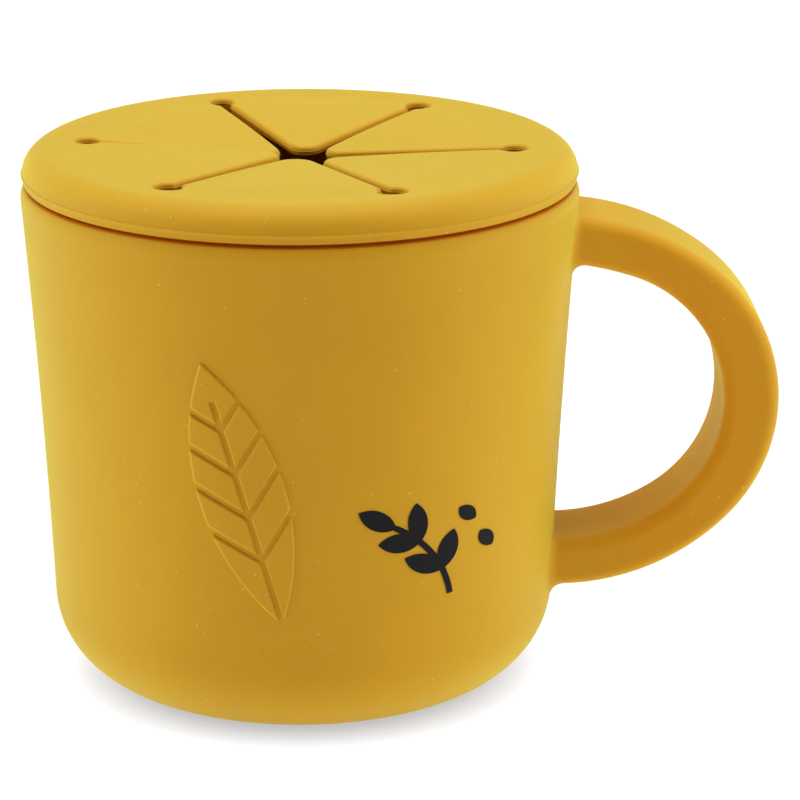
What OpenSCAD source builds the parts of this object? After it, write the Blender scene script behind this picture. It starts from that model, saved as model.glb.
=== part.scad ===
// Toddler snack cup in soft silicone: a moulded cup with a D-shaped handle, and a press-in lid
// whose six flaps bend so that a small hand can reach in.
// Axes: +Z up, +X through the middle of the handle, -Y the front. Origin: centre of the base.

/* [Cup] */
// Height of the rim above the base
rim_z = 79; // [70:0.5:95]
// Outer radius at the rim
rim_r = 43.1; // [40:0.1:50]
// Outer radius just above the rounded base
base_r = 39.3; // [36:0.1:43]
// How far the wall bows inwards from a straight taper
wall_bow = 0.34; // [0.2:0.02:0.6]
// Radius of the rounding between the wall and the base
base_round = 14; // [10:0.5:17]
// Wall thickness
wall_t = 2.6; // [2:0.1:3.4]
// Floor thickness
floor_t = 3.2; // [2:0.1:5]
// Rounding of the rim's outer edge
rim_round = 1.6; // [0.6:0.1:1.8]

/* [Handle] */
// Width of the handle's bar, across the cup
bar_w = 17; // [12:0.5:22]
// Thickness of the handle's bar
bar_t = 8; // [6:0.1:9]
// Rounding along the bar's edges
bar_round = 2.2; // [1:0.1:2.8]
// Distance of the outer bend's centre from the cup's axis
bend_x = 46.4; // [45:0.1:49]
// Height of the outer bend's centre
bend_z = 44.8; // [43:0.1:47]
// Radius of the outer bend, on the bar's centreline
bend_r = 23.7; // [22:0.1:25]
// Radius of the upper arm's curve, on the bar's centreline
upper_r = 34.8; // [33:0.1:37]
// Where the bend runs into the upper arm, in degrees above level
upper_turn = 54; // [48:1:58]
// Radius of the lower arm's curve, on the bar's centreline
lower_r = 31.3; // [29:0.1:34]
// Where the bend runs into the lower arm, in degrees below level
lower_turn = 43; // [38:1:50]
// Radius of the fillets where the arms meet the wall
root_round = 2; // [1:0.1:3]

/* [Raised leaf] */
// Length of the raised leaf
leaf_len = 42; // [25:0.5:48]
// Width of the raised leaf
leaf_w = 13; // [8:0.5:18]
// How far the leaf stands out of the wall
leaf_rise = 0.5; // [0.3:0.05:0.9]
// Lean of the leaf, in degrees
leaf_lean = 16; // [-25:1:25]
// Width of the grooves that draw the leaf's veins
vein_w = 0.9; // [0.5:0.1:1.4]

/* [Printed sprig] */
// Thickness of the printed ink
ink_t = 0.12; // [0.08:0.01:0.2]
// Radius of the sprig's curved stem
stem_r = 16; // [12:0.5:22]
// Length of each printed leaf
sprig_leaf_len = 6.4; // [4:0.1:8]
// Width of each printed leaf
sprig_leaf_w = 3; // [2:0.1:4]

/* [Lid] */
// Height of the lid above the cup's rim
lid_h = 5.6; // [5:0.1:8]
// How far the lid's flange stays inside the rim's outer edge
lid_inset = 0.4; // [0:0.1:0.8]
// Rounding of the lid's top edge
lid_round = 4.2; // [2:0.1:4.6]
// Thickness of the lid's web and flaps
web_t = 1.4; // [1.2:0.1:2.4]
// Depth of the plug ring below the rim
plug_depth = 6.5; // [5:0.1:9]
// Thickness of the plug ring
plug_t = 2.2; // [1.6:0.1:3]
// Gap between the plug ring and the cup's mouth
plug_gap = 0.3; // [0.2:0.05:0.5]
// Running clearance of the plug's sealing bead in the mouth
seal_gap = 0.05; // [0.02:0.01:0.1]
// Radius of the sealing bead
bead_r = 0.9; // [0.6:0.1:1]
// Fillet between the plug ring and the web
web_fillet = 1.6; // [0.8:0.1:2]
// Rounding of the flange's lower edge
seam_round = 0.3; // [0.2:0.1:0.8]
// Radius of the fine ridge that the mould's parting leaves round the lid
ridge_r = 0.2; // [0.1:0.05:0.3]
// Height of that ridge above the flange's lower edge
ridge_rise = 1.1; // [0.7:0.1:1.4]

/* [Flaps] */
// Distance from the centres of the slits' round ends to the plug ring
slit_margin = 4.6; // [4:0.1:7]
// Width of the slits
slit_w = 0.7; // [0.4:0.1:1.4]
// Radius of the slits' round ends
slit_end_r = 1.9; // [1.4:0.1:2.4]
// Angle of the first slit about the lid's axis, in degrees
slit_turn = -6; // [-10:1:10]
// Rounding of the flaps' tips
tip_round = 2.8; // [1.5:0.1:3.5]
// Rounding along the top edges of the slits and their round ends
slit_edge_round = 0.5; // [0.3:0.05:0.7]
// How far the flaps hang down at rest, in degrees
droop_angle = 3.6; // [2:0.1:5]
// How much less the stiffest flap hangs down, in degrees
droop_spread = 1.4; // [0:0.1:2]
// How far a flap bends down, in degrees
bend_down = 70; // [50:1:75]
// How far a flap bends up, in degrees
bend_up = 60; // [40:1:70]
// Running clearance round a flap's root
root_gap = 0.05; // [0.03:0.01:0.1]

/* [Hidden] */

SILICONE = [0.80, 0.60, 0.17];
INK = [0.11, 0.11, 0.11];
FLAPS = 6;
TURN_FACETS = 72;
ROUND_FACETS = 32;
FINE_FACETS = 20;
BOW_FACETS = 1300;
BIG = 120;

// The wall's section is an arc through (base_r, base_round) and (rim_r, rim_z), bowed inwards,
// so its centre lies far outside the cup.
chord = [rim_r - base_r, rim_z - base_round];
bow_r = (chord * chord) / (8 * wall_bow) + wall_bow / 2;
bow_c = [base_r, base_round] + chord / 2 + (bow_r - wall_bow) * [chord.y, -chord.x] / norm(chord);

// Radius of the wall at a height, grown outwards by a distance
function wall_r(z, grow = 0) = bow_c.x - sqrt(pow(bow_r - grow, 2) - pow(bow_c.y - z, 2));

// Centre of the rounding at the foot of a wall that is grown outwards by a distance
function foot_c(floor_z, r, grow) =
    [bow_c.x - sqrt(pow(bow_r - grow + r, 2) - pow(bow_c.y - floor_z - r, 2)), floor_z + r];

// Unit vector from one point to another
function toward(a, b) = (b - a) / norm(b - a);

// Point at a distance ra from a and rb from b, on the left of the line from a to b for side 1
function meet(a, ra, b, rb, side) =
    let (d = norm(b - a), u = toward(a, b), s = (d * d + ra * ra - rb * rb) / (2 * d))
    a + s * u + side * sqrt(ra * ra - s * s) * [-u.y, u.x];

// Handle: the upper and lower arms are arcs that leave the outer bend along its tangents.
bend_c = [bend_x, bend_z];
upper_c = bend_c + (bend_r - upper_r) * [cos(upper_turn), sin(upper_turn)];
lower_c = bend_c + (bend_r - lower_r) * [cos(lower_turn), -sin(lower_turn)];
bar_sink = 2;
upper_end = acos((wall_r(upper_c.y + upper_r) - bar_sink - upper_c.x) / upper_r);
lower_end = acos((wall_r(lower_c.y - lower_r) - bar_sink - lower_c.x) / lower_r);
root_half_angle = asin((bar_w / 2 - bar_round / 2) / rim_r);

// Lid
top_z = rim_z + lid_h;
lid_r = rim_r - lid_inset;
plug_r = wall_r(rim_z - plug_depth, -wall_t) - plug_gap;
bead_z = rim_z - 0.55 * plug_depth;
bead_x = wall_r(bead_z, -wall_t) - seal_gap - bead_r;

// Flaps: each turns about the straight line between two neighbouring slit ends.
half_flap = 180 / FLAPS;
slit_reach = plug_r - plug_t - slit_margin;
hinge_x = slit_reach * cos(half_flap);
hinge_z = top_z - web_t / 2;
flap_root_r = web_t / 2;
hinge_end_y = slit_reach * sin(half_flap);
root_half = hinge_end_y - 1.15 * slit_end_r;
channel_half = root_half + 0.4 * slit_end_r;
swing_margin = 2;
STIFFNESS_PATTERN = [0, 0, 0, 0.7, 1, 0];

function flap_angle(i) = slit_turn + (2 * i + 1) * half_flap;
function flap_droop(i) = droop_angle - droop_spread * STIFFNESS_PATTERN[i];

// ---- Cup ----

// Section of the cup's outer shape between two heights, grown outwards by a distance
module wall_section(floor_z, roof_z, foot_r, grow) {
    c = foot_c(floor_z, foot_r, grow);
    out = 1.2 * rim_r;
    u = toward(c, bow_c);
    difference() {
        translate([0, floor_z]) square([out, roof_z - floor_z]);
        translate(bow_c) circle(bow_r - grow, $fn = BOW_FACETS);
        difference() {
            polygon([c, [c.x, floor_z - 1], [out, floor_z - 1], c + u * (out - c.x) / u.x]);
            translate(c) circle(foot_r, $fn = ROUND_FACETS);
        }
    }
}

// The corner that a rounding of radius r takes off, with its arc's centre at the origin
module corner_waste(r) {
    difference() {
        square(2 * r);
        circle(r, $fn = FINE_FACETS);
    }
}

module outer_section() {
    difference() {
        wall_section(0, rim_z, base_round, 0);
        translate([wall_r(rim_z) - rim_round, rim_z - rim_round]) corner_waste(rim_round);
    }
}

// Section of the cup's inside
module hollow_section() {
    wall_section(floor_t, rim_z + 1, base_round - wall_t, -wall_t);
}

// Section of the handle's bar
module bar_section() {
    flat = [bar_t / 2 - bar_round, bar_w / 2 - bar_round];
    square([bar_t, 2 * flat.y], center = true);
    square([2 * flat.x, bar_w], center = true);
    for (sx = [-1, 1], sy = [-1, 1])
        translate([sx * flat.x, sy * flat.y]) circle(bar_round, $fn = FINE_FACETS);
}

// A stretch of bar that follows an arc in the XZ plane
module bar_arc(c, r, from, to) {
    translate([c.x, 0, c.y]) rotate([90, 0, 0])
        rotate_extrude(angle = to - from, start = from, $fn = TURN_FACETS)
            translate([r, 0]) bar_section();
}

module handle_bar() {
    bar_arc(bend_c, bend_r, -lower_turn, upper_turn);
    bar_arc(upper_c, upper_r, upper_turn, upper_end);
    bar_arc(lower_c, lower_r, -lower_end, -lower_turn);
}

// Fillet between the wall and the face of an arm that lies at radius face_r from arm_c.
// Side is 1 above the arm and -1 below it; reach is 1 on an outer face and -1 on an inner one.
module root_fillet(arm_c, face_r, reach, side) {
    c = meet(arm_c, face_r + reach * root_round, bow_c, bow_r - root_round, side);
    on_arm = arm_c + face_r * toward(arm_c, c);
    on_wall = bow_c + bow_r * toward(bow_c, c);
    inside = [on_wall.x - bar_sink, on_arm.y - side * bar_sink];
    rotate_extrude(angle = 2 * root_half_angle, start = -root_half_angle, $fn = TURN_FACETS)
        difference() {
            polygon([c, on_arm, inside, on_wall]);
            translate(c) circle(root_round, $fn = ROUND_FACETS);
        }
}

module handle_roots() {
    root_fillet(upper_c, upper_r + bar_t / 2, 1, 1);
    root_fillet(upper_c, upper_r - bar_t / 2, -1, 1);
    root_fillet(lower_c, lower_r - bar_t / 2, -1, -1);
    root_fillet(lower_c, lower_r + bar_t / 2, 1, -1);
}

// Pointed oval: two arcs that meet at the ends of its length
module leaf(len, w) {
    r = (len * len + w * w) / (4 * w);
    intersection() {
        translate([r - w / 2, 0]) circle(r, $fn = 160);
        translate([w / 2 - r, 0]) circle(r, $fn = 160);
    }
}

// The raised leaf, with a midrib and side veins cut into it
module veined_leaf() {
    vein_pitch = leaf_len / 6;
    difference() {
        leaf(leaf_len, leaf_w);
        translate([-vein_w / 2, -leaf_len / 2 - 1]) square([vein_w, 0.86 * leaf_len]);
        for (k = [-1.5:1:1.5], s = [-1, 1])
            translate([0, k * vein_pitch]) rotate(-45 * s + 90)
                translate([0, -vein_w / 2]) square([leaf_w, vein_w]);
    }
}

// Extrudes a flat outline through the front of the cup
module through_front() {
    rotate([90, 0, 0]) linear_extrude(BIG / 2) children();
}

leaf_place = [-9, 41];

module cup() {
    color(SILICONE) difference() {
        union() {
            rotate_extrude($fn = TURN_FACETS) outer_section();
            intersection() {
                rotate_extrude($fn = TURN_FACETS) wall_section(0, rim_z - 2, base_round, leaf_rise);
                through_front() translate(leaf_place) rotate(leaf_lean) veined_leaf();
            }
            handle_bar();
            handle_roots();
        }
        rotate_extrude($fn = TURN_FACETS) hollow_section();
    }
}

// ---- Printed marks ----

sprig_place = [6, 21];
stem_w = 0.9;
stem_from = 8;
stem_to = 62;
seed_len = 3.4;
seed_w = 2.2;
sprig_lean = 42;

// A curved stem with paired leaves and one at its tip, and two loose seeds beside it
module sprig() {
    intersection() {
        difference() {
            circle(stem_r + stem_w / 2, $fn = 160);
            circle(stem_r - stem_w / 2, $fn = 160);
        }
        polygon([[0, 0], BIG * [cos(stem_from), sin(stem_from)], BIG * [cos(stem_to), sin(stem_to)]]);
    }
    for (along = [0.3, 0.7], side = [-1, 1])
        sprig_leaf(stem_from + along * (stem_to - stem_from), side * sprig_lean);
    sprig_leaf(stem_to, 0);
    for (a = [24, 38])
        rotate(a) translate([stem_r + 1.17 * sprig_leaf_len, 0]) rotate(10) leaf(seed_len, seed_w);
}

// A leaf that starts on the stem and leans away from its direction
module sprig_leaf(at_angle, lean) {
    rotate(at_angle) translate([stem_r, 0]) rotate(lean)
        translate([0, 0.46 * sprig_leaf_len]) leaf(sprig_leaf_len, sprig_leaf_w);
}

module printed_marks() {
    color(INK) intersection() {
        difference() {
            rotate_extrude($fn = TURN_FACETS) wall_section(0, rim_z - 2, base_round, ink_t);
            rotate_extrude($fn = TURN_FACETS) wall_section(-1, rim_z, base_round, 0);
        }
        through_front() translate(sprig_place) sprig();
    }
}

// ---- Lid ----

module lid_section() {
    difference() {
        union() {
            translate([0, rim_z]) square([lid_r, lid_h]);
            translate([plug_r - plug_t, rim_z - plug_depth]) square([plug_t, plug_depth + 1]);
            translate([bead_x, bead_z]) circle(bead_r, $fn = FINE_FACETS);
        }
        translate([lid_r - lid_round, top_z - lid_round]) corner_waste(lid_round);
        translate([lid_r - seam_round, rim_z + seam_round]) mirror([0, 1]) corner_waste(seam_round);
        difference() {
            translate([-1, rim_z - plug_depth - 1])
                square([plug_r - plug_t + 1, plug_depth + 1 + lid_h - web_t]);
            translate([plug_r - plug_t - web_fillet, top_z - web_t - web_fillet])
                corner_waste(web_fillet);
        }
    }
    translate([lid_r, rim_z + ridge_rise]) circle(ridge_r, $fn = FINE_FACETS);
}

// Section of the channel that a flap's root turns in, with its lips cut back for the swing
module channel_section() {
    r = flap_root_r + root_gap;
    h = 2 * flap_root_r;
    up = 90 - bend_up - swing_margin;
    down = 90 - bend_down - swing_margin;
    circle(r, $fn = ROUND_FACETS);
    polygon([
        [-web_t, h], [r * cos(up) - (h - r * sin(up)) * tan(up), h], r * [cos(up), sin(up)],
        r * [cos(down), -sin(down)], [r * cos(down) - (h - r * sin(down)) * tan(down), -h], [-web_t, -h]
    ]);
}

// The channel that one flap's root turns in
module root_channel() {
    translate([hinge_x, 0, hinge_z]) rotate([90, 0, 0])
        linear_extrude(2 * channel_half, center = true) channel_section();
}

// The opening that the flaps fill, with a corner at the middle of each slit's round end
module flap_opening() {
    corners = [for (i = [0:FLAPS - 1])
        slit_reach * [cos(flap_angle(i) + half_flap), sin(flap_angle(i) + half_flap)]];
    translate([0, 0, top_z - 2 * web_t]) linear_extrude(3 * web_t) polygon(corners);
}

// A slit's round end, cut through the web, with its top edge rounded
module slit_end() {
    translate([0, 0, -2 * web_t]) cylinder(r = slit_end_r, h = 3 * web_t, $fn = ROUND_FACETS);
    rotate_extrude($fn = ROUND_FACETS)
        translate([slit_end_r + slit_edge_round, -slit_edge_round])
            mirror([1, 0]) corner_waste(slit_edge_round);
}

module lid() {
    color(SILICONE) difference() {
        rotate_extrude($fn = TURN_FACETS) lid_section();
        flap_opening();
        for (i = [0:FLAPS - 1]) {
            rotate(flap_angle(i)) root_channel();
            rotate(flap_angle(i) - half_flap) translate([slit_reach, 0, top_z]) slit_end();
        }
    }
}

// ---- Flaps ----

// A flap points at the lid's axis and has its root at hinge_x. One rounded border runs along
// a slit, round the tip and back along the next slit, and a flat triangle fills it.
tip_x = (tip_round + slit_w / 2) / sin(half_flap);
border_len = (hinge_x - tip_x) / cos(half_flap) + tip_round;
fill_overlap = tip_round / 3;

// Section of the border, from the tip's centre outwards
module border_section() {
    side_h = web_t - slit_edge_round;
    translate([0, -web_t / 2]) {
        square([tip_round - slit_edge_round, web_t]);
        square([tip_round, side_h]);
        translate([tip_round - slit_edge_round, side_h]) circle(slit_edge_round, $fn = FINE_FACETS);
    }
}

module flap_plate() {
    translate([tip_x, 0, 0]) {
        rotate_extrude(angle = 180 - 2 * half_flap, start = 90 + half_flap, $fn = ROUND_FACETS)
            border_section();
        for (side = [0, 1]) mirror([0, side, 0])
            rotate(half_flap) rotate([90, 0, 90]) linear_extrude(border_len) border_section();
        linear_extrude(web_t, center = true)
            translate([-fill_overlap / sin(half_flap), 0]) polygon([[0, 0],
                [border_len, -border_len * tan(half_flap)], [border_len, border_len * tan(half_flap)]]);
    }
}

module flap(i) {
    color(SILICONE) rotate(flap_angle(i)) translate([hinge_x, 0, hinge_z])
        rotate([0, -flap_droop(i), 0]) {
            translate([-hinge_x, 0, 0]) difference() {
                flap_plate();
                translate([hinge_x, -BIG / 2, -BIG / 2]) cube(BIG);
                for (side = [-1, 1])
                    translate([hinge_x, side * hinge_end_y, web_t / 2]) slit_end();
            }
            rotate([90, 0, 0])
                cylinder(r = flap_root_r, h = 2 * root_half, center = true, $fn = ROUND_FACETS);
        }
}

cup();
printed_marks();
lid();
for (i = [0:FLAPS - 1])
    flap(i);
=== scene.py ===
"""Looks of a toddler's snack cup in soft silicone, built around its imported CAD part.

The object's lengths are in millimetres, and mesh_object() turns them into metres. The studio's
are in metres. Angles are in degrees, apart from the camera's, which are in radians. Every piece
lies in the CAD part's frame: +Z up, +X through the middle of the handle, -Y the front.
"""

from functools import partial

import bpy
import numpy as np
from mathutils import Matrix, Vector
from mathutils.geometry import delaunay_2d_cdt


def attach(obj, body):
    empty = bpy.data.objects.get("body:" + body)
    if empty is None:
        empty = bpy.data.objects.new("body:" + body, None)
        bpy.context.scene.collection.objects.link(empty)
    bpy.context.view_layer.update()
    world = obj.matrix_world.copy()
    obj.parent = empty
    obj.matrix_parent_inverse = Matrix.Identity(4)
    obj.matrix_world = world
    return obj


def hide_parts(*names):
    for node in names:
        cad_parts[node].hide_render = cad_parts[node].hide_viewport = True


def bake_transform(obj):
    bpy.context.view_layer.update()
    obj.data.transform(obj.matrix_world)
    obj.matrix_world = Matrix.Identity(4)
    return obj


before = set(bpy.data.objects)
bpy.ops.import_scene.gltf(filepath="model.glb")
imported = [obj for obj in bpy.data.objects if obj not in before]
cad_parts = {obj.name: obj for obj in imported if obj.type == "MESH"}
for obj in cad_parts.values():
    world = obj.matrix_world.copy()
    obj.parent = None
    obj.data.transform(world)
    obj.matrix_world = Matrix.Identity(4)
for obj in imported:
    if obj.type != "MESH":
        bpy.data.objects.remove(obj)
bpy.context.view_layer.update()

# ---- Cup: at the rim, the outside turns in by RIM_TURN in a wide bend, then a tighter rounding
# goes on to the top ----
RIM_Z = 79.0
RIM_R = 43.1
BASE_R = 39.3
WALL_BOW = 0.34
BASE_ROUND = 14.0
WALL_T = 2.6
FLOOR_T = 3.2
RIM_BEND = 3.4
RIM_TURN = 28.0
RIM_ROUND = 0.8
MOUTH_ROUND = 0.4
TURN_STEPS = 360

# ---- Handle: three tangent arcs on each side of the bar, seen from the front. A root's span is
# given by two angles about the hub, and its fillet by its size on each side of the bar. SINK is
# how far the pieces on the wall reach into it ----
HUB = np.array([44.5, 44.7])
BAR_W = 17.0
BAR_ROUND = 2.1
OUTER_SIDE = {
    "bend": (46.95, 44.71, 27.13),
    "upper": (51.5, 39.27),
    "lower": (44.5, 36.58),
}
INNER_SIDE = {
    "bend": (44.29, 44.70, 21.16),
    "upper": (71.9, 50.17),
    "lower": (58.9, 29.84),
}
SIDE_END = 104.0
UPPER_ROOT = (84.0, 101.0)
LOWER_ROOT = (-88.0, -104.0)
UPPER_FILLET = {"outer": 1.0, "inner": 2.3, "side": 1.4}
LOWER_FILLET = {"outer": 2.5, "inner": 1.0, "side": 1.5}
FILLET_PULL = 0.8
ROOT_END = 1.0
SINK = 0.03

# ---- Raised leaf: LEAF_AT is its middle in the front view, and LEAF_LEAN turns it there. Pairs of
# veins slant up from a midrib that ends at MIDRIB_TOP, all of them grooves VEIN_W wide. VEINS
# says where each pair leaves the midrib, in steps of VEIN_PITCH ----
LEAF_AT = np.array([-9.0, 41.0])
LEAF_LEN = 42.0
LEAF_W = 13.0
LEAF_RISE = 0.5
LEAF_LEAN = 16.0
LEAF_EDGE = 0.35
LEAF_GRID = (281, 89)
LEAF_CROWDING = 0.94 * np.pi / 2
LEAF_END = 0.02
VEIN_W = 0.9
VEIN_EDGE = 0.3
VEIN_PITCH = LEAF_LEN / 6
VEINS = (-1.5, -0.5, 0.5, 1.5)
MIDRIB_TOP = 0.36 * LEAF_LEN

# ---- Lid: its band leans in a little, down to a foot that stays clear of the rim. It sits on the
# rim inside SEAT_R. The ring ends at WEB_R, and inside that the flaps make up the web, which
# thickens from WEB_T to WEB_T_RIM over WEB_SWELL, a start and a run ----
LID_H = 5.6
TOP_Z = RIM_Z + LID_H
LID_R = RIM_R - 0.47
BAND_LEAN = 0.15
BAND_FOOT = 79.55
SEAT_R = 41.2
WEB_T = 1.4
WEB_T_RIM = 2.0
WEB_SWELL = (8.0, 18.0)
PLUG_DEPTH = 6.5
PLUG_T = 2.2
PLUG_GAP = 0.3
PLUG_ROUND = 0.5
BEAD_R = 0.85
BEAD_GAP = 0.05
BEAD_Z = RIM_Z - 0.55 * PLUG_DEPTH
WEB_FILLET = 1.6
TOP_ROUND = np.array([4.2, 3.7])
RIDGE_Z = 80.77
RIDGE_R = 0.18
SEAM_ROUND = 0.2
WEB_R = 35.5
DISH = 0.2
DISH_START = 38.2
DISH_RUN = 5.5

# ---- Slits and flaps: slit k lies between flaps k - 1 and k, counted from 0. The soft lid is uneven, so the lists give each slit or flap a value: how far a slit leans off the even star, the radius of its round end and its width, and then a tip's radius, how far it hangs down, how far it is drawn back towards its hinge, and how late along the flap its droop comes. From its top down, a flap's edge is rounded, has the parting ridge, and is rounded a little at its foot
FLAPS = 6
HALF_FLAP = 180.0 / FLAPS
SLIT_TURN = -6.0
SLIT_MARGIN = 4.6
SLIT_LEANS = [0.0, 0.8, -1.6, 0.0, 0.0, 0.0]
SLIT_ENDS = [2.0, 1.95, 1.85, 1.85, 2.15, 2.2]
SLIT_WIDTHS = [1.0, 1.1, 1.5, 0.6, 1.4, 1.35]
TIP_ROUNDS = [2.35, 2.6, 2.38, 2.3, 3.1, 2.15]
TIP_DROPS = [1.8, 1.75, 2.1, 1.25, 1.45, 2.0]
TIP_SHIFTS = [1.9, 0.1, 1.6, 0.5, 0.0, 2.3]
DROP_POWERS = [1.15, 1.15, 1.0, 1.15, 1.15, 1.15]
EDGE_ROUND = 0.6
PARTING_Z = -0.74
PARTING_R = 0.09
EDGE_MIDDLE = -0.95
FOOT_ROUND = 0.12
CORNER_BLUR = 0.3
BORDER_SPACING = 0.22
WEB_SPACING = 1.3
TRIANGLE_HEIGHT = 0.866
FILL_CLEARANCE = 0.45

# ---- Colours. HANDLE_PAINTED_BOUNCE_SPAN is the stretch along X, in millimetres, over which the silicone takes on HANDLE_PAINTED_BOUNCE, painted warm bounce light on the handle, and PAINTED_SHADE_REACH is how near, in metres, other surfaces must be for painted shade to deepen its colour
SILICONE_DARK = (0.708, 0.325, 0.0061)
SILICONE_LIGHT = (0.756, 0.352, 0.0075)
SILICONE_GRAIN = (0.788, 0.372, 0.0095)
# The next two set the painted shade: its colour in corners, slits and the lid's seam, and how near
# other surfaces must be for it.
SILICONE_PAINTED_SHADE = (0.75, 0.26, 0.004)
PAINTED_SHADE_REACH = 0.005
SHEEN = 0.94
SHEEN_TINT = (1.0, 0.93, 0.12, 1)
LINT = (0.9, 0.72, 0.4)
DIRT = (0.3, 0.12, 0.01)
# The next two paint warm bounce light on the handle: where along X it comes in, and its tint.
HANDLE_PAINTED_BOUNCE_SPAN = (43.5, 54.0)
HANDLE_PAINTED_BOUNCE = (1.08, 0.92, 0.5)
INK_DARK = (0.009, 0.009, 0.0095)
INK_LIGHT = (0.014, 0.013, 0.013)

# ---- Studio, in metres. To light, the floor has FLOOR_COLOUR and FLOOR_GLOW. Where it is seen, it has FLOOR_SEEN and a glow that goes from FLOOR_PAINTED_SHADOW, a painted shadow near the object, to FLOOR_LIFT beyond FLOOR_PAINTED_SHADOW_REACH. Each light has a place, a size and a power in watts
FLOOR_SIDE = 8.0
FLOOR_Z = -0.0001
FLOOR_COLOUR = (0.8, 0.8, 0.8)
FLOOR_GLOW = (0.3, 0.3, 0.3)
FLOOR_SEEN = (0.1, 0.11, 0.12)
FLOOR_PAINTED_SHADOW = (0.45, 0.46, 0.47)
FLOOR_LIFT = (0.99, 0.99, 0.99)
FLOOR_PAINTED_SHADOW_REACH = 0.011
ROOM_LIGHT = 0.045
LIGHTS = {
    "left_box": ((-0.9, -0.03, 0.45), (0.7, 0.9), 3.85),
    "right_box": ((0.9, -0.05, 0.45), (0.7, 0.9), 4.3),
    "top_box": ((0.0, 0.1, 1.0), (0.9, 0.9), 7.4),
}
LIGHTS_AIM = Vector((0.01, 0, 0.04))
CAMERA_AT = (0.0, -0.53388, 0.20897)
CAMERA_LENS = 160.31
CAMERA_YAW = 0.028707
CAMERA_PITCH = 0.301019


# ---- Plane geometry ----


def polar(degrees, radius=1.0):
    """Point at an angle and distance from the origin of a plane."""
    a = np.radians(degrees)
    return radius * np.stack([np.cos(a), np.sin(a)], axis=-1)


def turned(points, degrees):
    """Points of a plane turned about the origin."""
    c, s = polar(degrees)
    return points @ np.array([[c, s], [-s, c]])


def arc(centre, radius, start, end, steps):
    """Points along an arc; radius is one number or one for each axis."""
    return np.asarray(centre) + np.asarray(radius) * polar(np.linspace(start, end, steps + 1))


def line(a, b, steps):
    """Points along a straight line, both ends included."""
    return np.linspace(a, b, steps + 1)


def chain(*parts):
    """Joins point lists end to end and drops repeated points."""
    joined = np.concatenate([np.atleast_2d(p) for p in parts])
    keep = np.r_[True, np.linalg.norm(np.diff(joined, axis=0), axis=1) > 1e-6]
    return joined[keep]


def run_length(points):
    """Distance along a polyline at each of its points."""
    return np.r_[0, np.cumsum(np.linalg.norm(np.diff(points, axis=0), axis=1))]


def at_run(values, run, distance):
    """Values along a polyline, read at one or more distances along it."""
    columns = [np.interp(distance, run, values[:, k]) for k in range(values.shape[1])]
    return np.stack(columns, axis=-1)


def resample(points, spacing):
    """Points at an even spacing along an open polyline."""
    run = run_length(points)
    count = max(2, int(round(run[-1] / spacing)) + 1)
    return at_run(points, run, np.linspace(0, run[-1], count))


def smooth_loop(points, sigma):
    """A closed, evenly spaced loop with its corners rounded by a Gaussian; sigma is in points."""
    wave = np.fft.fftfreq(len(points))[:, None]
    blurred = np.fft.fft(points, axis=0) * np.exp(-2 * (np.pi * wave * sigma) ** 2)
    return np.fft.ifft(blurred, axis=0).real


def smoothstep(x):
    """0 below 0, 1 above 1, and smooth between."""
    x = np.clip(x, 0, 1)
    return x * x * (3 - 2 * x)


def inside(points, loop):
    """Which points lie inside a closed loop."""
    x, y = points[:, 0][:, None], points[:, 1][:, None]
    a, b = loop, np.roll(loop, -1, axis=0)
    crosses = (a[:, 1] > y) != (b[:, 1] > y)
    with np.errstate(divide="ignore", invalid="ignore"):
        at = a[:, 0] + (y - a[:, 1]) * (b[:, 0] - a[:, 0]) / (b[:, 1] - a[:, 1])
    return ((crosses & (x < at)).sum(axis=1) % 2).astype(bool)


def fill(loop, spacing):
    """Triangles that fill a closed loop, with extra points inside at about a spacing.

    Gives the points, the triangles, and the numbers of the loop's own points.
    """
    low, high = loop.min(axis=0), loop.max(axis=0)
    heights = np.arange(low[1], high[1], spacing * TRIANGLE_HEIGHT)
    grid = []
    for n, y in enumerate(heights):
        start = low[0] + (n % 2) * spacing / 2
        grid += [(x, y) for x in np.arange(start, high[0], spacing)]
    grid = np.array(grid)
    grid = grid[inside(grid, loop)]
    clear = [np.hypot(*(loop - p).T).min() > spacing * FILL_CLEARANCE for p in grid]
    points = [Vector(p) for p in np.concatenate([loop, grid[clear]])]
    count = len(loop)
    edges = [(k, (k + 1) % count) for k in range(count)]
    made = delaunay_2d_cdt(points, edges, [], 1, 1e-5)
    order = np.full(len(points), -1)
    for number, sources in enumerate(made[3]):
        order[sources] = number
    return np.array([tuple(p) for p in made[0]]), [tuple(f) for f in made[2]], order[:count]


# ---- Meshes ----


def mesh_object(name, points, faces, sharp=40.0):
    """A smooth-shaded mesh object from points in millimetres, sharp where faces meet steeply."""
    mesh = bpy.data.meshes.new(name)
    mesh.from_pydata([tuple(p) for p in np.asarray(points) * 0.001], [], faces)
    mesh.validate()
    mesh.shade_smooth()
    mesh.set_sharp_from_angle(angle=np.radians(sharp))
    piece = bpy.data.objects.new(name, mesh)
    bpy.context.scene.collection.objects.link(piece)
    weighted = piece.modifiers.new("even_shading", "WEIGHTED_NORMAL")
    weighted.keep_sharp = True
    return piece


def strip(rows, closed_rows=False, closed_columns=False):
    """Quads that join each row of a grid of point numbers to the next."""
    rows = np.asarray(rows)
    across = np.roll(rows, -1, axis=1) if closed_columns else rows[:, 1:]
    here = rows if closed_columns else rows[:, :-1]
    pairs = list(range(len(rows) - 1)) + ([-1] if closed_rows else [])
    quads = []
    for i in pairs:
        j = i + 1
        quads += zip(here[i], across[i], across[j], here[j])
    return [tuple(int(v) for v in q) for q in quads]


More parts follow.
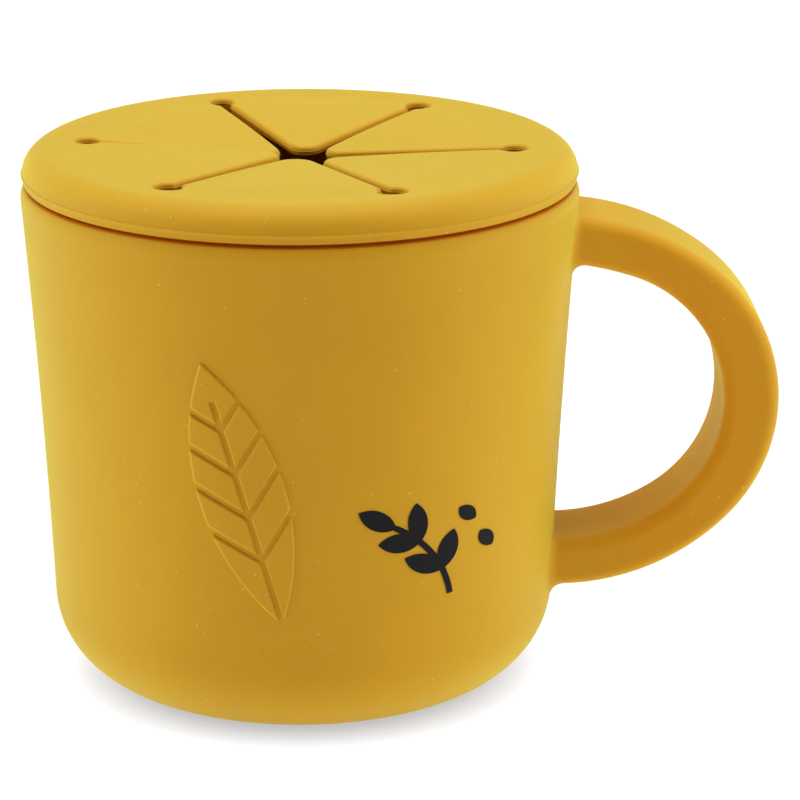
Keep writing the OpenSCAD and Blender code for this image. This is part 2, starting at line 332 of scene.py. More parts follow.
def revolve(profile, steps, closed=False):
    """Points and faces of a section, given as (radius, height), turned about Z."""
    on_axis = profile[:, 0] < 1e-6
    turn = polar(np.arange(steps) * 360.0 / steps)
    points, rows = [], []
    for (r, z), pole in zip(profile, on_axis):
        if pole:
            rows.append(np.full(steps, len(points)))
            points.append((0.0, 0.0, z))
        else:
            rows.append(np.arange(steps) + len(points))
            points += [(r * c, r * s, z) for c, s in turn]
    faces = []
    for quad in strip(rows, closed_rows=closed, closed_columns=True):
        face = tuple(dict.fromkeys(quad))
        if len(face) > 2:
            faces.append(face)
    return points, faces


# ---- Cup body: its wall's section is an arc, bowed a little inwards ----

CHORD = np.array([RIM_R - BASE_R, RIM_Z - BASE_ROUND])
BOW_R = CHORD @ CHORD / (8 * WALL_BOW) + WALL_BOW / 2
BOW_C = (
    np.array([BASE_R, BASE_ROUND])
    + CHORD / 2
    + (BOW_R - WALL_BOW) * np.array([CHORD[1], -CHORD[0]]) / np.linalg.norm(CHORD)
)


def wall_r(z, grow=0.0):
    """Radius of the cup's wall at a height, grown outwards by a distance."""
    return BOW_C[0] - np.sqrt((BOW_R - grow) ** 2 - (BOW_C[1] - z) ** 2)


def wall_run(z0, z1, grow, steps):
    """Points up or down the wall between two heights."""
    z = np.linspace(z0, z1, steps + 1)
    return np.stack([wall_r(z, grow), z], axis=1)


def wall_normal(point):
    """The way the wall faces at a point on it, with its slope read over 1 mm of height."""
    normal = np.array([point[0], point[1], 0.0]) / np.hypot(point[0], point[1])
    normal[2] = wall_r(point[2] - 0.5) - wall_r(point[2] + 0.5)
    return normal / np.linalg.norm(normal)


def on_wall(points, out):
    """Puts points of the front view, given as (x, z), on the wall's front, standing out of it."""
    x, z = points[:, 0], points[:, 1]
    r = wall_r(z) + out
    return np.stack([x, -np.sqrt(r * r - x * x), z], axis=1)


def foot_arc(floor_z, radius, grow, steps):
    """The rounding between a floor and a wall that is grown outwards by a distance."""
    reach = np.sqrt((BOW_R - grow + radius) ** 2 - (BOW_C[1] - floor_z - radius) ** 2)
    centre = np.array([BOW_C[0] - reach, floor_z + radius])
    end = np.degrees(np.arctan2(BOW_C[1] - centre[1], BOW_C[0] - centre[0]))
    return arc(centre, radius, -90, end, steps)


def rim_curve():
    """The rim's outer edge: a wide bend that leaves the wall, then a tighter one to the top."""
    turn = np.radians(RIM_TURN)
    height = RIM_BEND * np.sin(turn) + RIM_ROUND * (1 - np.sin(turn))
    start = np.array([wall_r(RIM_Z - height), RIM_Z - height])
    bend = arc(start - (RIM_BEND, 0), RIM_BEND, 0, RIM_TURN, 10)
    tight = arc(bend[-1] - RIM_ROUND * polar(RIM_TURN), RIM_ROUND, RIM_TURN, 90, 10)
    return chain(bend, tight)


def cup_section():
    """The cup's section from the middle of the base, up outside, over the rim and down inside."""
    rim = rim_curve()
    mouth = wall_r(RIM_Z - MOUTH_ROUND, -WALL_T)
    foot = foot_arc(0, BASE_ROUND, 0, 40)
    inner_foot = foot_arc(FLOOR_T, BASE_ROUND - WALL_T, -WALL_T, 30)
    return chain(
        line((0, 0), foot[0], 8),
        foot,
        wall_run(foot[-1, 1], rim[0, 1], 0, 40),
        rim,
        arc((mouth + MOUTH_ROUND, RIM_Z - MOUTH_ROUND), MOUTH_ROUND, 90, 180, 6),
        wall_run(RIM_Z - MOUTH_ROUND, inner_foot[-1, 1], -WALL_T, 30),
        inner_foot[::-1],
        line(inner_foot[0], (0, FLOOR_T), 8),
    )


def cup_body():
    points, faces = revolve(cup_section(), TURN_STEPS)
    return mesh_object("cup_body", points, faces)


# ---- Handle ----


def side_line(side, angles):
    """Distance from the hub to one side of the bar, seen from the front, at each angle.

    A side is three arcs that run into each other. The bend is given by its centre and radius,
    and each of the two others by the angle at which it meets the bend and its own radius.
    """
    bx, bz, bend_r = side["bend"]
    bend = np.array([bx, bz])
    upper_turn, upper_r = side["upper"]
    lower_turn, lower_r = side["lower"]
    upper = bend + (bend_r - upper_r) * polar(upper_turn)
    lower = bend + (bend_r - lower_r) * polar(-lower_turn)
    track = chain(
        arc(lower, lower_r, -SIDE_END, -lower_turn, 120),
        arc(bend, bend_r, -lower_turn, upper_turn, 240),
        arc(upper, upper_r, upper_turn, SIDE_END, 120),
    ) - HUB
    seen_at = np.degrees(np.arctan2(track[:, 1], track[:, 0]))
    return np.interp(angles, seen_at, np.hypot(track[:, 0], track[:, 1]))


def bar_corners():
    """The four corners of the bar's cross-section: on which side each lies, outwards and along Y,
    and the directions round it."""
    corners = []
    for out, side, start in ((1, 1, 0), (-1, 1, 90), (-1, -1, 180), (1, -1, 270)):
        corners.append((out, side, polar(np.linspace(start, start + 90, 10))))
    return corners


def bar_ring(angle):
    """Points of the bar's cross-section at an angle about the hub, and the way each faces."""
    inner = side_line(INNER_SIDE, angle)
    outer = side_line(OUTER_SIDE, angle)
    middle, half = (outer + inner) / 2, (outer - inner) / 2
    corners = bar_corners()
    centres = [
        np.array([middle + out * (half - BAR_ROUND), side * (BAR_W / 2 - BAR_ROUND)])
        for out, side, _ in corners
    ]
    places, facings = [], []
    for n, (out, _, around) in enumerate(corners):
        next_out, _, next_around = corners[(n + 1) % 4]
        places.append(centres[n] + BAR_ROUND * around)
        facings.append(around)
        steps = 12 if out != next_out else 24
        next_place = centres[(n + 1) % 4] + BAR_ROUND * next_around[0]
        places.append(line(places[-1][-1], next_place, steps)[1:-1])
        facings.append(np.repeat(around[-1:], steps - 1, axis=0))
    return np.concatenate(places), np.concatenate(facings)


def in_space(angle, flat):
    """Turns (outwards, along Y) values of a ring at an angle about the hub into space."""
    x, z = polar(angle)
    return np.stack([flat[:, 0] * x, flat[:, 1], flat[:, 0] * z], axis=1)


def bar_rings(angles):
    """The bar's rings in space at some angles about the hub, and the way their points face."""
    rings = [bar_ring(a) for a in angles]
    places = np.array([in_space(a, place) for a, (place, _) in zip(angles, rings)])
    facings = np.array([in_space(a, facing) for a, (_, facing) in zip(angles, rings)])
    return places + np.array([HUB[0], 0, HUB[1]]), facings


def fillet_bend(first, corner, foot):
    """Points of a fillet from the bar to its foot on the wall, kept out of the wall."""
    bend = []
    for t in np.linspace(0, 1, 10)[1:]:
        parts = np.array([(1 - t) ** 2, 2 * FILLET_PULL * t * (1 - t), t * t])
        p = parts @ np.array([first, corner, foot]) / parts.sum()
        least = wall_r(p[2]) - SINK
        reach = np.hypot(p[0], p[1])
        if t == 1 or reach < least:
            p[:2] *= least / reach
        bend.append(p)
    return bend


def root_line(track, facings, size):
    """One line along the bar's surface, run into a fillet of a size where it meets the wall."""
    gap = np.hypot(track[:, 0], track[:, 1]) - wall_r(track[:, 2])
    run = run_length(track)
    hit = np.interp(0, -gap, run)
    corner = at_run(track, run, hit)
    normal = wall_normal(corner)
    facing = at_run(facings, run, hit)
    along = facing - (facing @ normal) * normal
    foot = corner + size * along / np.linalg.norm(along)
    straight = [at_run(track, run, s) for s in np.linspace(0, hit - size, 9)[1:]]
    return straight + fillet_bend(straight[-1], corner, foot)


def root_rings(span, fillets):
    """Rings that carry the bar from an angle near the cup into fillets on the cup's wall."""
    places, facings = bar_rings(np.linspace(*span, 60))
    lines = []
    for n, (out, side) in enumerate(bar_ring(span[0])[1]):
        across = fillets["outer"] if out > 0 else fillets["inner"]
        size = fillets["side"] * side * side + across * out * out
        lines.append(root_line(places[:, n], facings[:, n], size))
    return np.array(lines).transpose(1, 0, 2)


def handle():
    """The D-shaped bar with both its roots, closed by a point inside the wall at each end."""
    middle, _ = bar_rings(np.linspace(LOWER_ROOT[0], UPPER_ROOT[0], 150))
    top = root_rings(UPPER_ROOT, UPPER_FILLET)
    bottom = root_rings(LOWER_ROOT, LOWER_FILLET)
    rings = np.concatenate([bottom[::-1], middle, top])
    count = rings.shape[1]
    rows = np.arange(len(rings) * count).reshape(len(rings), count)
    faces = strip(rows, closed_columns=True)
    ends = np.array([rings[0].mean(axis=0), rings[-1].mean(axis=0)])
    ends[:, 0] -= ROOT_END
    points = np.concatenate([rings.reshape(-1, 3), ends])
    for row, end, flip in ((rows[0], len(points) - 2, 1), (rows[-1], len(points) - 1, -1)):
        around = np.append(row, row[0])[::flip]
        faces += [(int(b), int(a), end) for a, b in zip(around[:-1], around[1:])]
    return mesh_object("handle", points, faces, sharp=60)


# ---- Raised leaf ----


def leaf_half_width(along):
    """Half the width of the leaf, a pointed oval, at a distance from its middle."""
    r = (LEAF_LEN * LEAF_LEN + LEAF_W * LEAF_W) / (4 * LEAF_W)
    return np.sqrt(np.maximum(r * r - along * along, 0)) - r + LEAF_W / 2


def leaf_height(across, along, half):
    """How far the leaf stands out of the wall: rounded at its edge and cut by its veins."""
    edge = np.clip((half - np.abs(across)) / LEAF_EDGE, 0, 1)
    height = np.sqrt(1 - (1 - edge) ** 2)
    groove = VEIN_W / 2
    midrib = smoothstep((np.abs(across) - groove + VEIN_EDGE / 2) / VEIN_EDGE)
    height = height * np.maximum(midrib, smoothstep((along - MIDRIB_TOP + VEIN_EDGE) / VEIN_EDGE))
    for step in VEINS:
        from_vein = np.abs(along - step * VEIN_PITCH - np.abs(across)) / np.sqrt(2)
        height = height * smoothstep((from_vein - groove + VEIN_EDGE / 2) / VEIN_EDGE)
    return height * LEAF_RISE


def raised_leaf():
    """The leaf as a thin closed form set into the wall, its rows crowded towards its ends."""
    rows_n, columns_n = LEAF_GRID
    along = np.sin(np.linspace(-1, 1, rows_n) * LEAF_CROWDING) / np.sin(LEAF_CROWDING)
    along = (LEAF_LEN / 2 - LEAF_END) * along
    half = leaf_half_width(along)
    grid_v = np.repeat(along[:, None], columns_n, axis=1)
    grid_u = np.linspace(-1, 1, columns_n)[None, :] * half[:, None]
    height = leaf_height(grid_u, grid_v, half[:, None])
    lean = polar(LEAF_LEAN)
    x = LEAF_AT[0] + grid_u * lean[0] - grid_v * lean[1]
    z = LEAF_AT[1] + grid_u * lean[1] + grid_v * lean[0]
    flat = np.stack([x, z], axis=-1).reshape(-1, 2)
    top = on_wall(flat, height.ravel() - SINK)
    under = on_wall(flat, -4 * SINK)
    rows = np.arange(rows_n * columns_n).reshape(rows_n, columns_n)
    below = rows + rows.size
    rim = np.concatenate([rows[0], rows[1:, -1], rows[-1, -2::-1], rows[-2:0:-1, 0]])
    faces = strip(rows) + [q[::-1] for q in strip(below)]
    faces += strip([rim + rows.size, rim], closed_columns=True)
    return mesh_object("raised_leaf", np.concatenate([top, under]), faces)


# ---- Lid ring ----

PLUG_R = wall_r(RIM_Z - PLUG_DEPTH, -WALL_T) - PLUG_GAP


def web_top(radius):
    """Height of the lid's top, which dishes a little inside its rim."""
    return TOP_Z - DISH * smoothstep((DISH_START - radius) / DISH_RUN)


def plug_section():
    """The plug ring's section: the sealing bead outside, the rounded foot, and a fillet inside."""
    bead_x = wall_r(BEAD_Z, -WALL_T) - BEAD_GAP - BEAD_R
    spread = np.degrees(np.arccos((PLUG_R - bead_x) / BEAD_R))
    foot = RIM_Z - PLUG_DEPTH + PLUG_ROUND
    inner = PLUG_R - PLUG_T
    under = web_top(WEB_R) - WEB_T_RIM
    return chain(
        arc((bead_x, BEAD_Z), BEAD_R, spread, -spread, 8),
        arc((PLUG_R - PLUG_ROUND, foot), PLUG_ROUND, 0, -90, 5),
        arc((inner + PLUG_ROUND, foot), PLUG_ROUND, -90, -180, 5),
        arc((inner - WEB_FILLET, under - WEB_FILLET), WEB_FILLET, 0, 90, 8),
        (WEB_R, under),
    )


def lid_section():
    """The section of the lid's rim, from the web's top outwards and back along the underside."""
    wide = np.array([LID_R, TOP_Z - TOP_ROUND[1]])
    foot = np.array([LID_R - BAND_LEAN, BAND_FOOT + SEAM_ROUND])
    lean = (foot - wide) / (foot - wide)[1]
    ridge = wide + lean * (RIDGE_Z - wide[1])
    dish_r = np.linspace(WEB_R, LID_R - TOP_ROUND[0], 7)
    return chain(
        np.stack([dish_r, web_top(dish_r)], axis=1),
        arc(wide - (TOP_ROUND[0], 0), TOP_ROUND, 90, 3, 24),
        line(wide, ridge + lean * RIDGE_R, 4)[:-1],
        arc(ridge, RIDGE_R, 80, -80, 8),
        line(ridge - lean * RIDGE_R, foot, 4)[1:],
        arc(foot - (SEAM_ROUND, 0), SEAM_ROUND, 0, -90, 6),
        line(foot - SEAM_ROUND, (SEAT_R, BAND_FOOT), 3),
        line((SEAT_R, RIM_Z), (PLUG_R, RIM_Z), 2),
        plug_section(),
    )


def lid_ring():
    points, faces = revolve(lid_section(), TURN_STEPS, closed=True)
    return mesh_object("lid_ring", points, [f[::-1] for f in faces])


# ---- Flaps ----

SLIT_REACH = PLUG_R - PLUG_T - SLIT_MARGIN
HINGE_X = SLIT_REACH * np.cos(np.radians(HALF_FLAP))


def slit_angle(k):
    """Direction of a slit, which lies a little off its place in an even star."""
    return SLIT_TURN + 2 * HALF_FLAP * k + SLIT_LEANS[k % FLAPS]


def flap_angle(i):
    """Direction of a flap's middle, across its hinge."""
    return SLIT_TURN + HALF_FLAP * (2 * i + 1)


def tip_share(along):
    """0 at a flap's hinge and 1 at the lid's middle, from a distance along the flap."""
    return np.clip((HINGE_X - along) / HINGE_X, 0, 1)


def flap_border(i):
    """One flap's edge, from the far side of a slit's round end to that of the next one."""
    tip = TIP_ROUNDS[i]
    widths = [SLIT_WIDTHS[i], SLIT_WIDTHS[(i + 1) % FLAPS]]
    ends = [SLIT_ENDS[i], SLIT_ENDS[(i + 1) % FLAPS]]
    halves = [flap_angle(i) - slit_angle(i), slit_angle(i + 1) - flap_angle(i)]
    low, high = np.radians(halves)
    normals = np.array([[np.sin(low), np.cos(low)], [np.sin(high), -np.cos(high)]])
    centre = np.linalg.solve(normals, np.array(widths) / 2 + tip)
    rounds = []
    for side, half, width, end_r in zip((-1, 1), halves, widths, ends):
        far = side * half
        lean = np.degrees(np.arcsin(width / 2 / end_r))
        near = far - side * (180 - lean)
        rounds.append(arc(polar(far, SLIT_REACH), end_r, far, near, 60))
    tip_arc = arc(centre, tip, 270 - halves[0], 90 + halves[1], 50)
    border = resample(chain(rounds[0], tip_arc, rounds[1][::-1]), 0.1)
    border[:, 0] += TIP_SHIFTS[i] * tip_share(border[:, 0]) ** 3
    return turned(border, flap_angle(i))


def slit_network():
    """The edge of all slits and their round ends as one smooth loop, with the way into the flap
    at each of its points, and the number of each flap's first point."""
    borders = [resample(flap_border(i), BORDER_SPACING)[:-1] for i in range(FLAPS)]
    starts = np.r_[0, np.cumsum([len(b) for b in borders])]
    loop = smooth_loop(np.concatenate(borders), CORNER_BLUR / BORDER_SPACING)
    ahead = np.roll(loop, -1, axis=0) - np.roll(loop, 1, axis=0)
    ahead /= np.linalg.norm(ahead, axis=1)[:, None]
    inward = np.stack([ahead[:, 1], -ahead[:, 0]], axis=1)
    return loop, inward, starts


def drop(i, flat):
    """How far each point of a flap hangs below the web."""
    along = flat @ polar(flap_angle(i))
    return TIP_DROPS[i] * tip_share(along) ** DROP_POWERS[i]


def sunk(i, points, depth):
    """Flat points of a flap put at a depth below its top, with the flap's drop.

    The depth is that of a web WEB_T thick. Below the parting ridge it stretches with the web,
    which thickens towards its rim.
    """
    radius = np.hypot(*points.T)
    start, run = WEB_SWELL
    thick = WEB_T + (WEB_T_RIM - WEB_T) * smoothstep((radius - start) / run)
    z = np.maximum(depth, -EDGE_ROUND - 2 * PARTING_R)
    z = z + (depth - z) * (thick + z) / (WEB_T + z)
    return np.column_stack([points, web_top(radius) + z - drop(i, points)])


def edge_levels():
    """The section of a flap's edge from its top down: (inwards from the edge, height) pairs.

    The edge is rounded, and the mould's parting line runs along it as a thin ridge.
    """
    top = arc((EDGE_ROUND, -EDGE_ROUND), EDGE_ROUND, 90, 180, 6)
    parting = arc((0, PARTING_Z), PARTING_R, 90, 270, 4)
    foot = arc((FOOT_ROUND, FOOT_ROUND - WEB_T), FOOT_ROUND, 180, 270, 2)
    return chain(top, parting, (0, EDGE_MIDDLE), foot)


def flap(i, network):
    """One flap with its share of the web: rounded edges round a flat top and underside."""
    loop, inward, starts = network
    numbers = np.arange(starts[i], starts[i + 1] + 1) % len(loop)
    edge, facing = loop[numbers], inward[numbers]
    for end, k in ((0, i), (-1, i + 1)):
        facing[end] = polar(slit_angle(k))
        edge[end] = facing[end] * np.linalg.norm(edge[end])
    levels = edge_levels()
    layers = [edge + d * facing for d, z in levels]

    rim = polar(np.linspace(slit_angle(i + 1), slit_angle(i), 61), WEB_R)
    out_side = line(layers[0][-1], rim[0], 4)[1:-1]
    back_side = line(rim[-1], layers[0][0], 4)[1:-1]
    border = np.concatenate([layers[0], out_side, rim, back_side])
    flat, triangles, order = fill(border, WEB_SPACING)
    count, total = len(edge), len(flat)
    flat_under = flat.copy()
    flat_under[order[:count]] = layers[-1]

    points = [sunk(i, flat, 0), sunk(i, flat_under, -WEB_T)]
    points += [sunk(i, xy, z) for xy, (d, z) in zip(layers[1:-1], levels[1:-1])]
    rows = [order[:count]]
    rows += [2 * total + n * count + np.arange(count) for n in range(len(levels) - 2)]
    rows.append(total + order[:count])
    faces = triangles + [tuple(total + v for v in reversed(t)) for t in triangles]
    faces += strip(rows)
    rest = np.r_[order[count - 1:], order[0]]
    faces += strip([rest, rest + total])
    faces.append(tuple(int(r[0]) for r in rows))
    faces.append(tuple(int(r[-1]) for r in reversed(rows)))
    return mesh_object(f"flap_{i + 1}_skin", np.concatenate(points), faces, sharp=50)


def lid_flaps():
    """The six flaps, each built in place and standing in for the CAD part's flap, which is hidden.
    """
    network = slit_network()
    pieces = []
    for i in range(FLAPS):
        piece = flap(i, network)
        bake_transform(piece)
        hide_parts(f"flap_{i + 1}")
        pieces.append(piece)
    return pieces


# ---- Materials ----


class Nodes:
    """Short names for making and joining the nodes of a material or a world."""

    def __init__(self, owner):
        owner.use_nodes = True
        self.owner = owner
        self.tree = owner.node_tree

    def shader(self, kind="Principled BSDF"):
        return self.tree.nodes[kind]

    def add(self, kind, **values):
        node = self.tree.nodes.new(kind)
        for key, value in values.items():
            setattr(node, key, value)
        return node

    def join(self, source, target):
        self.tree.links.new(source, target)

    def place(self, stretch=(1, 1, 1)):
        """Object coordinates in millimetres, stretched."""
        coordinates = self.add("ShaderNodeTexCoord")
        mapping = self.add("ShaderNodeMapping")
        mapping.inputs["Scale"].default_value = [1000 * s for s in stretch]
        self.join(coordinates.outputs["Object"], mapping.inputs["Vector"])
        return mapping.outputs["Vector"]

    def noise(self, place, scale, detail=2.0, rough=0.5):
        node = self.add("ShaderNodeTexNoise")
        node.inputs["Scale"].default_value = scale
        node.inputs["Detail"].default_value = detail
        node.inputs["Roughness"].default_value = rough
        self.join(place, node.inputs["Vector"])
        return node.outputs["Fac"]

    def shelter(self, distance, samples):
        """How open a place is to its surroundings within a distance: 0 in a deep corner."""
        node = self.add("ShaderNodeAmbientOcclusion", samples=samples)
        node.inputs["Distance"].default_value = distance
        return node.outputs["AO"]

    def seen(self):
        """1 on rays that show a surface, directly, mirrored or through glass; 0 on light."""
        path = self.add("ShaderNodeLightPath").outputs
        direct = self.math("MAXIMUM", path["Is Camera Ray"], path["Is Glossy Ray"])
        return self.math("MAXIMUM", direct, path["Is Transmission Ray"])

    def ramp(self, value, low, high, start, end):
        """Maps a value from low..high to start..end, held at the ends."""
        node = self.add("ShaderNodeMapRange")
        node.inputs["From Min"].default_value = low
        node.inputs["From Max"].default_value = high
        node.inputs["To Min"].default_value = start
        node.inputs["To Max"].default_value = end
        self.join(value, node.inputs["Value"])
        return node.outputs["Result"]

    def math(self, kind, a, b):
        """One operation on two values; each is a number or another node's output."""
        node = self.add("ShaderNodeMath", operation=kind)
        for number, value in enumerate((a, b)):
            if isinstance(value, (int, float)):
                node.inputs[number].default_value = value
            else:
                self.join(value, node.inputs[number])
        return node.outputs["Value"]

    def mix(self, share, a, b, blend="MIX"):
        """A colour between two colours; each is a colour or another node's output."""
        node = self.add("ShaderNodeMix", data_type="RGBA", blend_type=blend)
        self.join(share, node.inputs["Factor"])
        for name, value in (("A", a), ("B", b)):
            socket = [s for s in node.inputs if s.name == name and s.type == "RGBA"][0]
            if isinstance(value, tuple):
                socket.default_value = (*value, 1)
            else:
                self.join(value, socket)
        return [s for s in node.outputs if s.type == "RGBA"][0]

    def bump(self, height, depth, under=None):
        """Relief from a height between 0 and 1, depth in millimetres."""
        node = self.add("ShaderNodeBump")
        node.inputs["Distance"].default_value = depth * 0.001
        self.join(height, node.inputs["Height"])
        if under is not None:
            self.join(under, node.inputs["Normal"])
        return node.outputs["Normal"]

    def specks(self, stretch, cell, size, share):
        """Sparse small dots, 1 inside a dot and 0 outside: one dot in some of the cells."""
        cells = self.add("ShaderNodeTexVoronoi")
        cells.inputs["Scale"].default_value = 1 / cell
        self.join(self.place(stretch), cells.inputs["Vector"])
        dot = self.ramp(cells.outputs["Distance"], size / cell, 0.4 * size / cell, 0, 1)
        pick = self.add("ShaderNodeSeparateColor")
        self.join(cells.outputs["Color"], pick.inputs["Color"])
        chosen = self.math("LESS_THAN", pick.outputs["Red"], share)
        return self.math("MULTIPLY", dot, chosen)


def silicone_colour(nodes, place, grain, lint):
    """Ochre yellow with faint clouding and dust, with painted warm bounce light on the handle and
    painted shade in corners, slits and the lid's seam.
    """
    cloud = nodes.ramp(nodes.noise(place, 0.055, 3.0), 0.3, 0.7, 0, 1)
    colour = nodes.mix(cloud, SILICONE_DARK, SILICONE_LIGHT)
    colour = nodes.mix(nodes.ramp(grain, 0.35, 0.7, 0.0, 0.5), colour, SILICONE_GRAIN)
    # Painted warm bounce light: towards the handle, along X, the colour turns more orange than the
    # cup's.
    axes = nodes.add("ShaderNodeSeparateXYZ")
    nodes.join(place, axes.inputs["Vector"])
    painted_bounce_share = nodes.ramp(axes.outputs["X"], *HANDLE_PAINTED_BOUNCE_SPAN, 0, 1)
    colour = nodes.mix(painted_bounce_share, colour, HANDLE_PAINTED_BOUNCE, "MULTIPLY")
    dirt = nodes.specks((0.7, 1.0, 0.9), 2.4, 0.19, 0.22)
    colour = nodes.mix(nodes.ramp(dirt, 0, 1, 0, 0.4), colour, DIRT)
    colour = nodes.mix(nodes.ramp(lint, 0, 1, 0, 0.55), colour, LINT)
    # Painted shade: the colour turns deeper and redder where other surfaces are near, in corners,
    # slits and the lid's seam.
    out_of_painted_shade = nodes.ramp(nodes.shelter(PAINTED_SHADE_REACH, 8), 0.15, 0.95, 0, 1)
    return nodes.mix(out_of_painted_shade, SILICONE_PAINTED_SHADE, colour)


def silicone(name, sheen):
    """Satin silicone with a fine skin, a little lint, and a bloom of sheen."""
    nodes = Nodes(bpy.data.materials.new(name))
    place = nodes.place()
    grain = nodes.noise(place, 2.4, 4.0, 0.65)
    dots = nodes.specks((1, 1, 1), 1.9, 0.21, 0.32)
    fibres = nodes.specks((0.2, 1.0, 0.3), 1.7, 0.11, 0.25)
    lint = nodes.math("MAXIMUM", dots, fibres)
    skin = nodes.bump(grain, 0.012)
    skin = nodes.bump(nodes.noise(place, 0.35, 2.0), 0.02, under=skin)
    skin = nodes.bump(lint, 0.03, under=skin)
    inputs = nodes.shader().inputs
    nodes.join(silicone_colour(nodes, place, grain, lint), inputs["Base Color"])
    nodes.join(nodes.ramp(grain, 0.3, 0.75, 0.44, 0.56), inputs["Roughness"])
    nodes.join(skin, inputs["Normal"])
    inputs["IOR"].default_value = 1.42
    inputs["Specular IOR Level"].default_value = 0.18
    inputs["Sheen Weight"].default_value = sheen
    inputs["Sheen Roughness"].default_value = 0.65
    inputs["Sheen Tint"].default_value = SHEEN_TINT
    inputs["Subsurface Weight"].default_value = 0.06
    inputs["Subsurface Radius"].default_value = (1.0, 0.5, 0.1)
    inputs["Subsurface Scale"].default_value = 0.002
    return nodes.owner


def ink():
    """Matt black print with a faintly uneven film."""
    nodes = Nodes(bpy.data.materials.new("ink"))
    film = nodes.noise(nodes.place(), 1.8, 3.0)
    inputs = nodes.shader().inputs
    colour = nodes.mix(nodes.ramp(film, 0.3, 0.7, 0, 1), INK_DARK, INK_LIGHT)
    nodes.join(colour, inputs["Base Color"])
    nodes.join(nodes.ramp(film, 0.3, 0.7, 0.45, 0.6), inputs["Roughness"])
    nodes.join(nodes.bump(film, 0.01), inputs["Normal"])
    inputs["Specular IOR Level"].default_value = 0.1
    return nodes.owner


def give_painted_shade(piece, deep, sheltered):
    """Gives the faces that lie inside a slit or the lid's seam the silicone without bloom, a copy
    that paints shade there.
    """
    piece.data.materials.append(deep)
    for face in piece.data.polygons:
        if sheltered(1000 * face.center, face.normal):
            face.material_index = 1


def in_rim_shelter(at, facing):
    """Whether a point is on top of the cup's rim, where the lid covers it."""
    return facing.z > 0.8 and at.z > RIM_Z - RIM_BEND


def in_lid_shelter(at, facing):
    """Whether a point is under the edge of the lid, in the groove over the cup's rim."""
    high = BAND_FOOT + SEAM_ROUND / 3
    return RIM_Z < at.z < high and at.xy.length > SEAT_R - WALL_T


def in_flap_shelter(i, at, facing):
    """Whether a point is on a flap's wall below its parting ridge."""
    flat = np.array([at.xy])
    top = web_top(np.hypot(*flat[0])) - drop(i, flat)[0]
    return at.z < top + PARTING_Z - PARTING_R and abs(facing.z) < 0.7


# ---- Studio ----


def floor():
    """A wide plain floor: white to the camera apart from the object's shadow, which is drawn by
    its shelter, and see-through from below. It glows a little, as a lit white table does."""
    mesh = bpy.data.meshes.new("floor")
    side, low = FLOOR_SIDE, FLOOR_Z
    corners = [(-side, -side, low), (side, -side, low), (side, side, low), (-side, side, low)]
    mesh.from_pydata(corners, [], [(0, 1, 2, 3)])
    piece = bpy.data.objects.new("floor", mesh)
    bpy.context.scene.collection.objects.link(piece)
    nodes = Nodes(bpy.data.materials.new("floor"))
    inputs = nodes.shader().inputs
    seen = nodes.seen()
    # Painted shadow: where the camera sees the floor, its glow dims near the object.
    out_of_painted_shade = nodes.ramp(nodes.shelter(FLOOR_PAINTED_SHADOW_REACH, 16), 0.03, 0.52, 0, 1)
    white = nodes.mix(out_of_painted_shade, FLOOR_PAINTED_SHADOW, FLOOR_LIFT)
    nodes.join(nodes.mix(seen, FLOOR_COLOUR, FLOOR_SEEN), inputs["Base Color"])
    nodes.join(nodes.mix(seen, FLOOR_GLOW, white), inputs["Emission Color"])
    inputs["Emission Strength"].default_value = 1.0
    inputs["Roughness"].default_value = 0.9
    from_below = nodes.add("ShaderNodeNewGeometry").outputs["Backfacing"]
    nodes.join(nodes.math("SUBTRACT", 1, from_below), inputs["Alpha"])
    mesh.materials.append(nodes.owner)


def room():
    """A pale room: white where the camera or a reflection sees it, dimmer as a light."""
    nodes = Nodes(bpy.data.worlds.new("room"))
    bpy.context.scene.world = nodes.owner
    back = nodes.shader("Background").inputs
    nodes.join(nodes.ramp(nodes.seen(), 0, 1, ROOM_LIGHT, 1.0), back["Strength"])
    back["Color"].default_value = (1, 1, 1, 1)


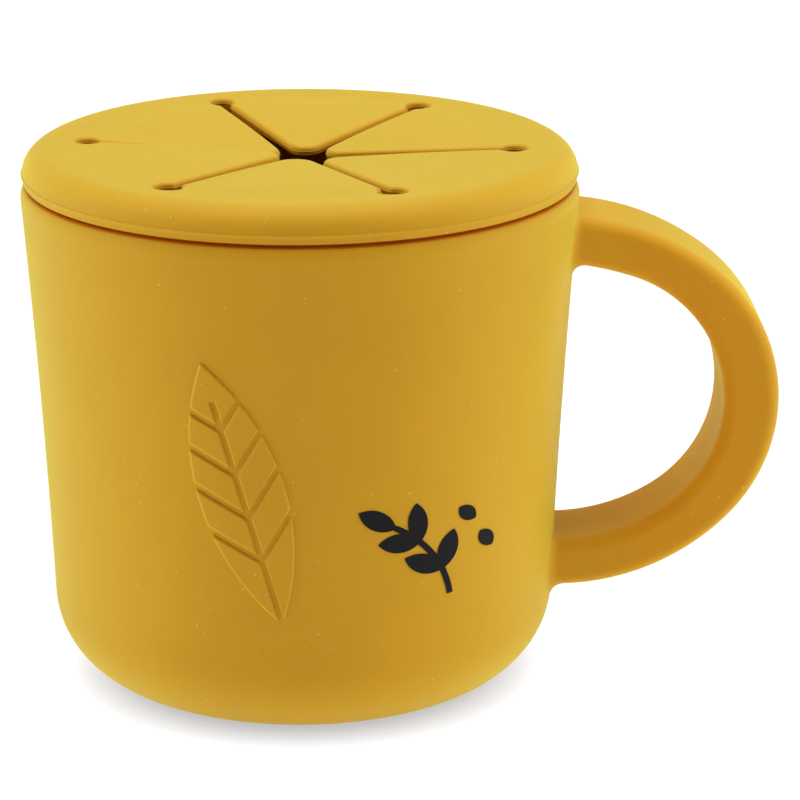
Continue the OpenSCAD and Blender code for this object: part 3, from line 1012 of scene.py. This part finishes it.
def soft_box(name, at, size, power):
    """A soft area light that points at the middle of the cup."""
    data = bpy.data.lights.new(name, "AREA")
    data.shape = "RECTANGLE"
    data.size, data.size_y = size
    data.energy = power
    lamp = bpy.data.objects.new(name, data)
    bpy.context.scene.collection.objects.link(lamp)
    lamp.location = at
    lamp.rotation_euler = (LIGHTS_AIM - lamp.location).to_track_quat("-Z", "Y").to_euler()


def camera():
    """The photograph's viewpoint and field of view."""
    data = bpy.data.cameras.new("camera")
    data.sensor_width = 36.0
    data.lens = CAMERA_LENS
    eye = bpy.data.objects.new("camera", data)
    bpy.context.scene.collection.objects.link(eye)
    eye.location = CAMERA_AT
    level = np.cos(CAMERA_PITCH)
    ahead = (np.sin(CAMERA_YAW) * level, np.cos(CAMERA_YAW) * level, -np.sin(CAMERA_PITCH))
    eye.rotation_euler = Vector(ahead).to_track_quat("-Z", "Y").to_euler()
    bpy.context.scene.camera = eye


# ---- The whole scene ----


def snack_cup():
    """The visible pieces and their materials; the cup's and the lid's pieces hang on their bodies,
    and each piece stands in for a CAD node, which is hidden.
    """
    # The second silicone, a copy without sheen, is painted shade for the faces in the slits, on
    # the rim and in the lid's seam.
    rubber, deep = silicone("silicone", SHEEN), silicone("silicone_painted_shade", 0.0)
    body, leaf, bar, ring = cup_body(), raised_leaf(), handle(), lid_ring()
    flaps = lid_flaps()
    for piece in (body, leaf, bar):
        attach(piece, "cup")
        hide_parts("cup")
    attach(ring, "lid")
    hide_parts("lid")
    for piece in [body, leaf, bar, ring] + flaps:
        piece.data.materials.append(rubber)
    give_painted_shade(body, deep, in_rim_shelter)
    give_painted_shade(ring, deep, in_lid_shelter)
    for i, piece in enumerate(flaps):
        give_painted_shade(piece, deep, partial(in_flap_shelter, i))
    black = ink()
    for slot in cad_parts["printed_marks"].material_slots:
        slot.material = black


def studio():
    """Floor, room, lights and camera."""
    floor()
    room()
    for name, (at, size, power) in LIGHTS.items():
        soft_box(name, at, size, power)
    camera()
    bpy.context.scene.view_settings.view_transform = "Standard"


snack_cup()
studio()
